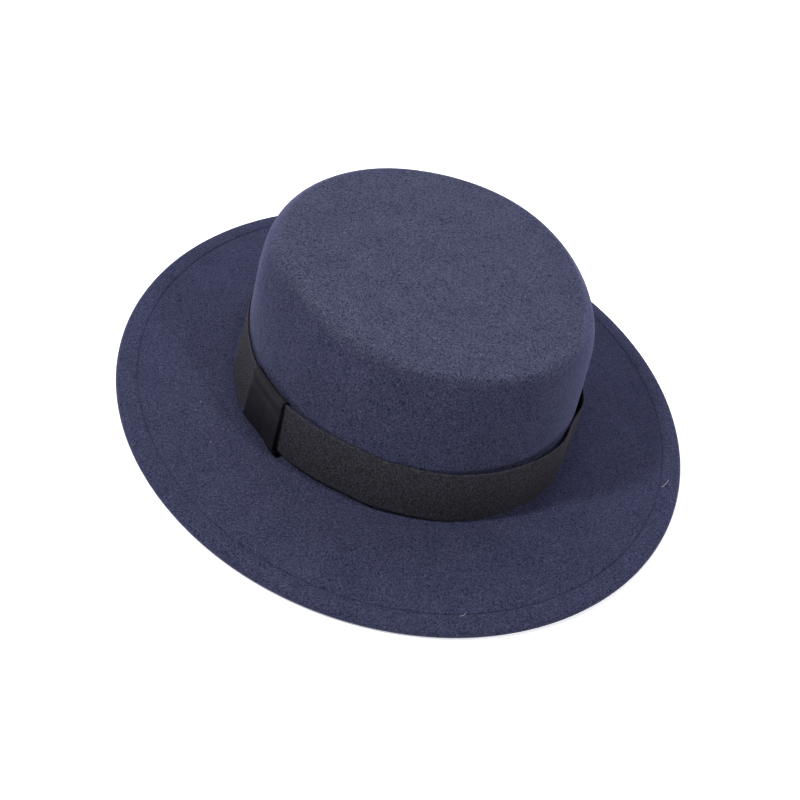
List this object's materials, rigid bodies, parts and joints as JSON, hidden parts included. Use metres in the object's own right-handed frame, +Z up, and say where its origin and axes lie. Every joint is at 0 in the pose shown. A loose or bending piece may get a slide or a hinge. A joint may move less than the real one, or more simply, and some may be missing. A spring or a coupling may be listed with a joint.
{
  "type": "flat-topped wide brim felt hat",
  "caption": "Flat-topped wide brim felt hat with a black ribbon band and a folded ribbon keeper, hollow underneath for a head.",
  "frame": {"origin": "centre of the hat's outline at the flat underside of the brim's edge, on which the hat rests", "axes": "+Z up through the crown, -Y the hat's front, -X the wearer's right side"},
  "size_m": [0.2938, 0.3344, 0.0859],
  "materials": {
    "felt": "navy wool felt, brushed, with a short pale fuzz",
    "ribbon": "black woven ribbon, matt, fine cross ribs",
    "keeper": "black satin ribbon, folded, low sheen"
  },
  "bodies": {
    "root": {"felt_body": "felt", "ribbon_band": "ribbon", "band_keeper": "keeper"}
  },
  "joints": []
}
